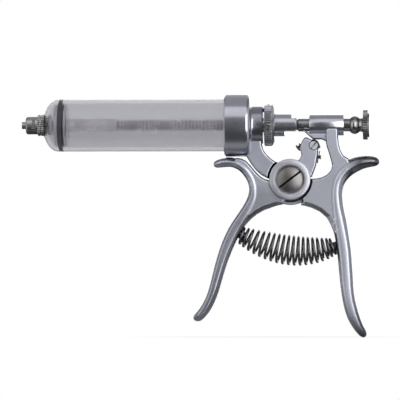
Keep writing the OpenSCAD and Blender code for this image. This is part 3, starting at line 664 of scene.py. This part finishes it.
def milky(name, colour, rough, ior):
    """Clear plastic that use has frosted: light goes through it and is spread. Its lower half is
    darkened by painted shade.
    """
    material, tree, shader, _ = tree_of(name)
    slow = noise(tree, 45, 4, 0.6, (0.35, 1, 1))
    shade = tuple(c * 0.96 for c in colour)
    clear = patchy(tree, slow, shade, colour)
    height = along(tree, "Z", -BARREL_R, BARREL_R)
    lower_shade = ramp(tree, height, [((z / BARREL_R + 1) / 2, (tone, tone, tone)) for z, tone in BARREL_SHADE])
    tree.links.new(mixed(tree, 1.0, clear, lower_shade, "MULTIPLY"), shader.inputs["Base Color"])
    tree.links.new(spread(tree, slow, *rough), shader.inputs["Roughness"])
    shader.inputs["Transmission Weight"].default_value = 1.0
    shader.inputs["IOR"].default_value = ior
    bump(tree, shader, noise(tree, 500, 3, 0.6, (0.2, 1, 1)), strength=0.04, distance=0.01)
    return material


def dress(obj, material):
    """Gives an object one material."""
    obj.data.materials.clear()
    obj.data.materials.append(material)


RING_GAP = 1.1          # between the lever's ring and the frame's plates
PAWL_SCREW_GAP = (2.3, 2.65)    # the radii of the gap round that screw's head
# A screw's slot: its middle, its angle in degrees and its width
SCREW_SLOT = (MAIN_PIVOT, 37, 1.1)
PAWL_SCREW_SLOT = (PAWL_PIVOT, 50, 0.6)
# Painted shade and painted light, as metal() takes them: painted shade on the lever's lower part,
# below its ring, on the palm grip's hook and foot and on the neck, and painted light on the dark
# rod inside the barrel.
LOWER_LEVER_SHADE = (0.72, "Z", -121, -120, -39, -33)
HOOK_AND_FOOT_SHADE = (0.3, "X", 183, 190, 210, 211)
NECK_SHADE = (0.62, "X", 128.8, 130.2, 135.6, 136)
ROD_IN_BARREL_LIGHT = (2.7, "X", 20, 21, 118, 126)

# edges: dirt and painted shade in hollows, wear and a painted highlight on edges
SATIN = dict(dark=(0.50, 0.515, 0.585), light=(0.56, 0.575, 0.65), rough=(0.46, 0.54), grain=2600,
             bump_mm=0.006, edges=(0.3, 1.12), sides=0.5, held=0.8)
# Painted shade round the pawl screw's head on the lever, and in the gap round the lever's ring on the
# frame
satin = metal("satin_nickel", gap=(PAWL_PIVOT, *PAWL_SCREW_GAP), painted_shade_or_light=LOWER_LEVER_SHADE, **SATIN)
frame_satin = metal("frame_satin", gap=(MAIN_PIVOT, RING_R, RING_R + RING_GAP),
                    painted_shade_or_light=HOOK_AND_FOOT_SHADE, **SATIN)
# Painted shade on the neck between the collar and the dial
turned_satin = metal("turned_satin", (0.46, 0.47, 0.53), (0.53, 0.54, 0.60), (0.20, 0.26),
                     grain=2200, bump_mm=0.004, stretch=(1, 0.05, 0.05), painted_shade_or_light=NECK_SHADE)
ring_satin = lathe_marks("ring_satin", (0.42, 0.425, 0.47), (0.50, 0.505, 0.55), (0.40, 0.48),
                         MAIN_PIVOT)
dark_nickel = metal("dark_nickel", (0.26, 0.255, 0.255), (0.40, 0.395, 0.39), (0.22, 0.34),
                    grain=1800, blotch=150)
# Painted shade between the rod's teeth, and painted light on the rod inside the barrel
rod_steel = metal("rod_steel", (0.24, 0.235, 0.235), (0.33, 0.325, 0.325), (0.20, 0.28),
                  grain=1800, blotch=150, bump_mm=0.006, stretch=(1, 0.05, 0.05),
                  groove=(2.9, 3.45), painted_shade_or_light=ROD_IN_BARREL_LIGHT)
bright = metal("bright_nickel", (0.55, 0.55, 0.57), (0.66, 0.66, 0.68), (0.16, 0.26),
               grain=1500, blotch=120)
nozzle_nickel = metal("nozzle_nickel", (0.31, 0.305, 0.305), (0.45, 0.445, 0.44), (0.26, 0.36),
                      grain=1800, blotch=150)
# Painted shade in the slot of the pawl screw's head
slotted_nickel = metal("slotted_nickel", (0.46, 0.46, 0.5), (0.56, 0.56, 0.6), (0.42, 0.5),
                       grain=1500, blotch=120, slot=PAWL_SCREW_SLOT)
# Painted shade in the slot of the main screw's head
screw_steel = lathe_marks("plain_steel", (0.17, 0.161, 0.158), (0.24, 0.23, 0.227), (0.34, 0.42),
                          MAIN_PIVOT, slot=SCREW_SLOT)
black_steel = metal("black_steel", (0.035, 0.035, 0.04), (0.09, 0.09, 0.10), (0.3, 0.45),
                    grain=1800, blotch=200)
black_wire = metal("spring_steel", (0.075, 0.075, 0.08), (0.16, 0.16, 0.165), (0.22, 0.32),
                   grain=2500, blotch=200)
dark_rubber = rubber("dark_rubber", (0.045, 0.046, 0.051), (0.37, 0.53))
milk = milky("milky_plastic", (0.66, 0.66, 0.69), (0.20, 0.26), 1.2)

FINISH = {
    "frame": frame_satin, "trigger_lever": satin, "barrel": milk, "barrel_gasket": dark_rubber,
    "luer_head": nozzle_nickel, "nozzle_nut": nozzle_nickel, "nozzle_stem": bright,
    "nozzle_washer": dark_rubber, "guide_tube": bright, "pivot_screw": screw_steel,
    "detent_spring": black_wire, "handle_spring": black_wire, "frame_spring_peg": black_steel,
    "lever_spring_peg": black_steel, "piston_nut": bright, "piston_front_disc": bright,
    "piston_seal": dark_rubber, "piston_rear_disc": bright, "toothed_rod": rod_steel,
    "rod_knob": rod_steel, "dose_dial": turned_satin, "detent_ball": bright,
    "pawl_screw": slotted_nickel, "pawl_spring": black_wire, "pawl_spring_screw": black_steel,
    "pawl": black_steel,
}
for node_name, finish in FINISH.items():
    dress(nodes[node_name], finish)


def place(piece, body, slot, material, *replaced):
    """Finishes a new piece: its material, its body, and the nodes that it stands for. slot is not used.
    """
    dress(piece, material)
    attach(piece, body)
    if replaced:
        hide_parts(*replaced)


# The lever's casting, and the ring round the main screw's head

BEYOND_Y = 12           # past every plate, for what cuts right through
LEVER_BAR_Y = 6.2
# The +Y half of the lever's plate and arm leaves room for the frame's boss and hub
BOSS_ROOM, BOSS_WAY = 0.4, rectangle(139.8, 153, -52, -32)
# How far the casting stays back from the ring piece: in radius, in its recess and in depth
BACK_IN_RING, BACK_IN_RECESS, BACK_IN_DEPTH = 0.6, 0.3, 0.1
PAWL_SLOT, PAWL_SLOT_Y = rectangle(150, 172, -15.6, 0), 2.0
RING_DISH, RING_EDGE, RECESS_EDGE = 0.2, 0.75, 0.3
lever_casting = fuse("lever_casting", [
    grip_bar("bar", LEVER_BAR, 1, LEVER_BAR_Y),
    cut(
        bevelled_slab("plate", LEVER_PLATE, -PLATE_Y, PLATE_Y),
        cylinder_y(MAIN_PIVOT, BOSS_R + BOSS_ROOM, -SLIDE, BEYOND_Y),
        slab("cutter", BOSS_WAY, -SLIDE, BEYOND_Y),
    ),
    cut(
        bevelled_slab("arm", CARRIER_ARM, -ARM_Y, ARM_Y),
        cylinder_y(MAIN_PIVOT, RING_R + BOSS_ROOM, -SLIDE, BEYOND_Y),
    ),
    cylinder_y(MAIN_PIVOT, RING_R - BACK_IN_RING, -PLATE_Y, -SLIDE - BACK_IN_DEPTH),
])
cut(
    lever_casting,
    cylinder_y(MAIN_PIVOT, RECESS_R + BACK_IN_RECESS, -BEYOND_Y, 1),
    slab("cutter", PAWL_SLOT, -PAWL_SLOT_Y, PAWL_SLOT_Y),
)
lever_casting.data.shade_smooth()
place(lever_casting, "lever", "satin_nickel", satin, "trigger_lever")
lever_ring = drum("lever_ring", MAIN_PIVOT, [
    (RECESS_R, RING_FLOOR_Y), (RECESS_R, RING_FRONT_Y + RING_DISH + RECESS_EDGE),
    (RECESS_R + RECESS_EDGE, RING_FRONT_Y + RING_DISH),
    (RING_R - RING_EDGE, RING_FRONT_Y), (RING_R - RING_EDGE / 3, RING_FRONT_Y + RING_EDGE / 3),
    (RING_R, RING_FRONT_Y + RING_EDGE),
    (RING_R, -SLIDE), (BEARING_R, -SLIDE), (BEARING_R, RING_FLOOR_Y),
])
place(lever_ring, "lever", "satin_nickel", ring_satin)


# The frame's casting

FINGER_SLOT_Y = 2.2
BARREL_ROOM, BARREL_WAY_X = 0.1, 100
ROD_ROOM, ROD_WAY_X, ROD_WAY_END_X = 0.35, 120, 190
BOSS_HALF_ANGLE = 58
BOSS = arc(MAIN_PIVOT, BOSS_R, -90 - BOSS_HALF_ANGLE, -90 + BOSS_HALF_ANGLE, 40)


def plate_round_ring(name, outline):
    """One of the frame's plates, with room on the -Y side for the lever's ring."""
    plate = bevelled_slab(name, outline, -PLATE_Y, PLATE_Y)
    return cut(plate, cylinder_y(MAIN_PIVOT, RING_R + RING_GAP, -BEYOND_Y, SLIDE))


frame_casting = fuse("frame_casting", [
    grip_bar("bar", PALM_BAR, -1, BAR_Y),
    plate_round_ring("neck", NECK_PLATE),
    plate_round_ring("palm", PALM_PLATE),
    bevelled_slab("finger", FINGER_WEB, -ARM_Y, ARM_Y),
    cylinder_y(MAIN_PIVOT, RING_R, SLIDE, PLATE_Y),
    slab("boss", BOSS, SLIDE, PLATE_Y),
])
cut(
    frame_casting,
    cylinder_x(BARREL_R + BARREL_ROOM, BARREL_WAY_X, COLLAR_FLOOR_X),
    cylinder_x(ROD_R + ROD_ROOM, ROD_WAY_X, ROD_WAY_END_X),
    slab("cutter", FINGER_SLOT, -FINGER_SLOT_Y, FINGER_SLOT_Y),
)
frame_casting.data.shade_smooth()
place(frame_casting, "frame", "satin_nickel", frame_satin, "frame")


# The turned pieces: the piston's rubber ring, and the frame's collar and sleeve

def rounded_outside(radius, start_x, end_x, edge):
    """Profile points of an outside whose two edges are rounded alike. An edge is a list, from the
    end inwards, of how much smaller the radius is and how far in from the end that is."""
    near = [(radius - drop, start_x + way_in) for drop, way_in in edge]
    far = [(radius - drop, end_x - way_in) for drop, way_in in reversed(edge)]
    return near + far


def round_points(radius, step, count):
    """Points on a circle about nought, the first one straight across, with steps in degrees."""
    angles = [math.radians(step * k) for k in range(count)]
    return [(radius * math.cos(a), radius * math.sin(a)) for a in angles]


SEAL_PRESS = 0.1        # how far the ring is pressed into the barrel's wall
SEAL_R = BORE_R + SEAL_PRESS
SEAL_X, SEAL_END_X = 20.6, 23.5
SEAL_EDGE = [(0.7, 0), (0.2, 0.15), (0, 0.5)]
seal = turned("piston_ring", [
    (SEAL_GROOVE_R, SEAL_X), *rounded_outside(SEAL_R, SEAL_X, SEAL_END_X, SEAL_EDGE),
    (SEAL_GROOVE_R, SEAL_END_X),
])
place(seal, "plunger", "dark_rubber", dark_rubber, "piston_seal")

COLLAR_BORE_R = BARREL_R + BARREL_ROOM
COLLAR_CHAMFER, COLLAR_EDGE, NECK_FILLET, NECK_CHAMFER = 0.7, 2.4, 1.6, 0.5
collar = turned("frame_collar", [
    (COLLAR_BORE_R, COLLAR_X), (COLLAR_R - COLLAR_CHAMFER, COLLAR_X),
    (COLLAR_R, COLLAR_X + COLLAR_CHAMFER),
    *[(COLLAR_R - COLLAR_EDGE + across, COLLAR_END_X - COLLAR_EDGE + up)
      for across, up in round_points(COLLAR_EDGE, 11.25, 8)],
    *[(NECK_R + NECK_FILLET - up, COLLAR_END_X + NECK_FILLET - across)
      for across, up in round_points(NECK_FILLET, 22.5, 5)],
    (NECK_R, NECK_END_X - NECK_CHAMFER), (NECK_R - NECK_CHAMFER, NECK_END_X), (TUBE_R, NECK_END_X),
    (TUBE_R, COLLAR_FLOOR_X), (COLLAR_BORE_R, COLLAR_FLOOR_X),
])
# The index: a flat on the neck with a groove along it, turned about X from the -Y side
INDEX_TURN = 17
INDEX_FLAT, INDEX_FLAT_DEPTH = rectangle(130.2, 134.9, -2.3, 2.3), 0.25
INDEX_MARK, INDEX_MARK_DEPTH = rectangle(132.2, 134.9, -0.2, 0.2), 0.5
for outline, depth in ((INDEX_FLAT, INDEX_FLAT_DEPTH), (INDEX_MARK, INDEX_MARK_DEPTH)):
    cutter = slab("cutter", outline, -NECK_R - 1, -NECK_R + depth)
    cutter.data.transform(Matrix.Rotation(math.radians(-INDEX_TURN), 4, "X"))
    cut(collar, cutter)
crisp(collar)
place(collar, "frame", "satin_nickel", turned_satin)

SLEEVE_BORE_R = ROD_R + 0.05
SLEEVE_EDGE = [(0.5, 0), (0.15, 0.15), (0, 0.5)]
sleeve = turned("frame_sleeve", [
    (SLEEVE_BORE_R, SLEEVE_X), *rounded_outside(SLEEVE_R, SLEEVE_X, SLEEVE_END_X, SLEEVE_EDGE),
    (SLEEVE_BORE_R, SLEEVE_END_X),
])
place(sleeve, "frame", "satin_nickel", turned_satin)


# The dial's knurled rim, its numbers, and the nut

FLAT_TURNS = (261, 171, 81, 351)    # the dial's flats, in degrees, from its first dose up
FIRST_DOSE = 2
FLAT_R = DIAL_R - 0.62  # from the axis to the flats that carry the numbers
KNURL_R = DIAL_R + 0.05
DIAL_BORES, DIAL_TEETH = (10.6, 7.5), 56
dial_rim = knurled("dial_rim", [
    (DIAL_X + 0.15, DIAL_R - 0.75, 0), (DIAL_X + 0.35, DIAL_R - 0.3, 0.2), (DIAL_X + 0.6, KNURL_R, 0.55),
    (DIAL_RIM_END_X - 0.5, KNURL_R, 0.55), (DIAL_RIM_END_X, DIAL_R - 0.5, 0.5),
    (DIAL_RIM_END_X + 0.5, DIAL_R - 1.45, 0.3), (DIAL_CONE_END_X + 0.1, DIAL_R - 3.0, 0),
], DIAL_BORES, DIAL_TEETH, FLAT_TURNS, FLAT_R)
place(dial_rim, "dial", "dark_nickel", dark_nickel)

NUMBER_SIZE, NUMBER_HALF_THICKNESS, NUMBER_SUNK = 4.4, 0.1, 0.05


def number(dose, turn):
    """A dose number as dark paint let into one of the dial's flats."""
    name = "dial_number_" + str(dose)
    curve = bpy.data.curves.new(name, "FONT")
    curve.body = str(dose)
    curve.size = NUMBER_SIZE * MM
    curve.extrude = NUMBER_HALF_THICKNESS * MM
    curve.align_x = "CENTER"
    curve.align_y = "CENTER"
    letter = bpy.data.objects.new(name, curve)
    SCENE.collection.objects.link(letter)
    depsgraph = bpy.context.evaluated_depsgraph_get()
    mesh = bpy.data.meshes.new_from_object(letter.evaluated_get(depsgraph))
    bpy.data.objects.remove(letter)
    a = math.radians(turn)
    outward = Vector((0, math.sin(a), math.cos(a)))
    right = Vector((1, 0, 0))
    middle = right * (DIAL_X + DIAL_RIM_END_X) / 2 * MM + outward * (FLAT_R - NUMBER_SUNK) * MM
    axes = Matrix((right, outward.cross(right), outward)).transposed().to_4x4()
    mesh.transform(Matrix.Translation(middle) @ axes)
    piece = bpy.data.objects.new(name, mesh)
    SCENE.collection.objects.link(piece)
    place(piece, "dial", "hardened_steel", black_steel)


for dose, turn in enumerate(FLAT_TURNS, FIRST_DOSE):
    number(dose, turn)

NUT_TEETH, NUT_KNURL, NUT_NECK_R = 30, 0.5, NUT_R - 0.5
nut = knurled("nozzle_nut_knurl", [
    (8.9, NUT_NECK_R, 0), (9.1, NUT_R - 0.1, 0.35), (9.35, NUT_R, NUT_KNURL), (10.3, NUT_R, NUT_KNURL),
    (10.45, NUT_NECK_R, 0.05), (10.75, NUT_NECK_R, 0.05),
    (10.9, NUT_R, NUT_KNURL), (12.2, NUT_R, NUT_KNURL), (12.4, NUT_R - 0.1, 0.35), (12.6, NUT_NECK_R, 0),
], (STEM_R, STEM_R), NUT_TEETH)
place(nut, "frame", "dark_nickel", nozzle_nickel, "nozzle_nut")


# The handle spring: one wire whose coils swell in the middle, by the CAD part's formula, on an
# axis that bends between the two pegs

LEVER_END, FRAME_END = Vector((122.6, -61.2)), Vector((175.3, -67.8))
SPRING_ARC = Vector((150.5, -75.2))
TURNS, WIRE_R, END_R, MID_R = 19, 0.75, 3.8, 7.9
CLOSE_TURNS, CLOSE_PITCH, SPRING_LENGTH = 2, 2.1, 53
SWELL_POWER = 0.7       # below 1 for coils that swell soon after the ends
POINTS_PER_TURN, WIRE_SIDES = 28, 12
WIRE_EDGE = 50          # degrees, for crisp()
TAIL, TAIL_SHARES = 2.0, (1, 0.6, 0.2)


def spring_line(t):
    """A place on the spring's axis and its direction there, in the XZ plane."""
    at = (1 - t) ** 2 * LEVER_END + 2 * t * (1 - t) * SPRING_ARC + t * t * FRAME_END
    return at, ((1 - t) * (SPRING_ARC - LEVER_END) + t * (FRAME_END - SPRING_ARC)).normalized()


def spring_share(turn):
    """How far along the axis the wire is: close turns at the ends, open between."""
    step = CLOSE_PITCH / SPRING_LENGTH
    close = CLOSE_TURNS * step
    if turn < CLOSE_TURNS:
        return turn * step
    if turn > TURNS - CLOSE_TURNS:
        return 1 - (TURNS - turn) * step
    return close + (turn - CLOSE_TURNS) * (1 - 2 * close) / (TURNS - 2 * CLOSE_TURNS)


def coil_point(turn):
    """A place on the middle of the wire, after a number of turns."""
    t = spring_share(turn)
    at, way = spring_line(t)
    r = END_R + (MID_R - END_R) * max(0, math.sin(math.pi * t)) ** SWELL_POWER
    a = 2 * math.pi * turn
    return Vector((at.x - way.y * r * math.sin(a), r * math.cos(a), at.y + way.x * r * math.sin(a)))


def tube(name, path, radius):
    """A round wire along a path, with rings that don't twist."""
    rings = []
    last = len(path) - 1
    side = None
    for i, p in enumerate(path):
        way = (path[min(i + 1, last)] - path[max(i - 1, 0)]).normalized()
        if side is None:
            side = way.orthogonal().normalized()
        side = (side - way * side.dot(way)).normalized()
        up = way.cross(side)
        rings.append([
            p + radius * (math.cos(a) * side + math.sin(a) * up) for a in round_angles(WIRE_SIDES)])
    return crisp(loft(name, rings), WIRE_EDGE)


way_in = Vector((*spring_line(0)[1], 0)).xzy
way_out = Vector((*spring_line(1)[1], 0)).xzy
coil = [coil_point(k / POINTS_PER_TURN) for k in range(TURNS * POINTS_PER_TURN + 1)]
wire = [coil[0] - way_in * TAIL * share for share in TAIL_SHARES] + coil[2:-2]
wire += [coil[-1] + way_out * TAIL * share for share in reversed(TAIL_SHARES)]
spring = tube("handle_spring_wire", wire, WIRE_R)
dress(spring, black_wire)
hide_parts("handle_spring")
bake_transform(spring)


# The floor: a small pale table that turns white for the camera away from the object

def is_seen(tree, *kinds):
    """1 for rays of the kinds named, from Light Path."""
    path = tree.nodes.new("ShaderNodeLightPath")
    total = path.outputs[kinds[0]]
    for kind in kinds[1:]:
        total = math_node(tree, "MAXIMUM", total, path.outputs[kind])
    return total


floor_z = cad_box[0][2] / MM
TABLE_X, TABLE_Y = (40, 240), (-55, 110)
TABLE_TONE, TABLE_ROUGHNESS = 0.38, 0.9
# How white the table looks near its middle and at its rim, and where it changes, as shares of
# the way from the middle to the rim
TABLE_WHITE, TABLE_FADE = (0.85, 1.0), (0.5, 0.95)
corners = [(TABLE_X[i], TABLE_Y[j], floor_z) for i, j in ((0, 0), (1, 0), (1, 1), (0, 1))]
floor = add("floor", corners, [[0, 1, 2, 3]])
floor_material, tree, shader, out = tree_of("pale_floor")
shader.inputs["Base Color"].default_value = (TABLE_TONE, TABLE_TONE, TABLE_TONE, 1)
shader.inputs["Roughness"].default_value = TABLE_ROUGHNESS
white = tree.nodes.new("ShaderNodeEmission")
mix = tree.nodes.new("ShaderNodeMixShader")
middle_x, middle_y = [(low + high) / 2 * MM for low, high in (TABLE_X, TABLE_Y)]
share_x, share_y = [2 / (high - low) / MM for low, high in (TABLE_X, TABLE_Y)]
shares = place_of(tree, (share_x, share_y, 0), (-middle_x * share_x, -middle_y * share_y, 0))
fade = spread(tree, length_of(tree, shares), *TABLE_WHITE, *TABLE_FADE)
seen = is_seen(tree, "Is Camera Ray", "Is Transmission Ray")
feed(tree, mix.inputs["Fac"], math_node(tree, "MULTIPLY", fade, seen))
tree.links.new(shader.outputs["BSDF"], mix.inputs[1])
tree.links.new(white.outputs["Emission"], mix.inputs[2])
tree.links.new(mix.outputs["Shader"], out.inputs["Surface"])
dress(floor, floor_material)


# The room, which the metal shows: a white backdrop behind, with dark flags beside it, grey walls
# to the left and right, and the dark side that the camera is on

world = bpy.data.worlds.new("studio")
SCENE.world = world
world.use_nodes = True
tree = world.node_tree
tree.nodes.clear()
out = tree.nodes.new("ShaderNodeOutputWorld")
background = tree.nodes.new("ShaderNodeBackground")
# How bright the room is at each angle over the top: 0 is level in front, 180 level behind
ROOM = [
    (-180, 0.10), (-120, 0.05), (-95, 0.06), (-75, 0.16), (-50, 0.07), (5, 0.06), (25, 0.14),
    (40, 0.24), (70, 0.36), (90, 0.42), (110, 0.42), (130, 0.50), (150, 0.75), (165, 1.0), (180, 1.0),
]
FILL, WALLS, COOL = 0.5, 0.6, 1.03
# Where the flags and the walls begin and are whole, by how much of a direction is along X
FLAGS_FROM, WALLS_FROM = (0.3, 0.5), (0.6, 0.8)
FLAGS_TONE = 0.25
toward = tree.nodes.new("ShaderNodeTexCoord").outputs["Generated"]
forward = math_node(tree, "MULTIPLY", component(tree, toward, "Y"), -1)
over = math_node(tree, "ARCTAN2", component(tree, toward, "Z"), forward)
angle = spread(tree, over, 0, 1, -math.pi, math.pi)
room = ramp(tree, angle, [
    ((degrees + 180) / 360, (tone, tone, tone * COOL)) for degrees, tone in ROOM])
sideways = math_node(tree, "ABSOLUTE", component(tree, toward, "X"))
room = tinted(tree, room, spread(tree, sideways, 1, 0, *FLAGS_FROM), FLAGS_TONE, 1.0)
room = mixed(tree, spread(tree, sideways, 0, 1, *WALLS_FROM), room, (WALLS, WALLS, WALLS * COOL, 1))
# Only the metal's gloss shows the room: all else is lit by an even fill, and what the camera
# sees past the object is white
room = mixed(tree, is_seen(tree, "Is Glossy Ray"), (FILL, FILL, FILL, 1), room)
room = mixed(tree, is_seen(tree, "Is Camera Ray", "Is Transmission Ray"), room, (1, 1, 1, 1))
tree.links.new(room, background.inputs["Color"])
tree.links.new(background.outputs["Background"], out.inputs["Surface"])


# The lamps and the camera

CENTRE = Vector((0.100, 0, -0.0419))    # the middle of the picture, in metres


def aim(obj, azimuth, elevation, distance):
    """Puts a lamp or the camera at a distance in metres from the centre, facing it. At azimuth 0
    it is on the -Y side, and a positive azimuth is to the right of that."""
    az, el = math.radians(azimuth), math.radians(elevation)
    away = Vector((math.sin(az) * math.cos(el), -math.cos(az) * math.cos(el), math.sin(el)))
    obj.location = CENTRE + away * distance
    obj.rotation_euler = (-away).to_track_quat("-Z", "Y").to_euler()


def softbox(name, azimuth, elevation, distance, size, tone):
    """A lamp facing the object. Its size is in metres, and tone is how bright it looks, 1 for
    white."""
    data = bpy.data.lights.new(name, "AREA")
    data.shape = "RECTANGLE"
    data.size, data.size_y = size
    data.energy = tone * math.pi * size[0] * size[1]
    lamp = bpy.data.objects.new(name, data)
    lamp.visible_camera = False
    lamp.visible_transmission = False
    SCENE.collection.objects.link(lamp)
    aim(lamp, azimuth, elevation, distance)


softbox("top_softbox", 0, 50, 0.9, (1.8, 0.62), 0.72)
softbox("right_softbox", 35, 8, 1.0, (0.8, 1.0), 3.4)
softbox("left_softbox", -40, 8, 1.0, (0.7, 1.0), 1.1)
softbox("back_softbox", 172, 15, 1.0, (1.2, 0.8), 1.3)

CAMERA_AZIMUTH, CAMERA_ELEVATION, CAMERA_DISTANCE = 3.4, -1.0, 3.0
MM_PER_PIXEL, IMAGE_PIXELS, SENSOR = 0.56, 400, 36
camera_data = bpy.data.cameras.new("camera")
camera = bpy.data.objects.new("camera", camera_data)
SCENE.collection.objects.link(camera)
aim(camera, CAMERA_AZIMUTH, CAMERA_ELEVATION, CAMERA_DISTANCE)
camera_data.sensor_width = SENSOR
camera_data.lens = SENSOR * CAMERA_DISTANCE / (IMAGE_PIXELS * MM_PER_PIXEL * MM)
camera_data.clip_start = 0.05
SCENE.camera = camera

SCENE.view_settings.view_transform = "Standard"
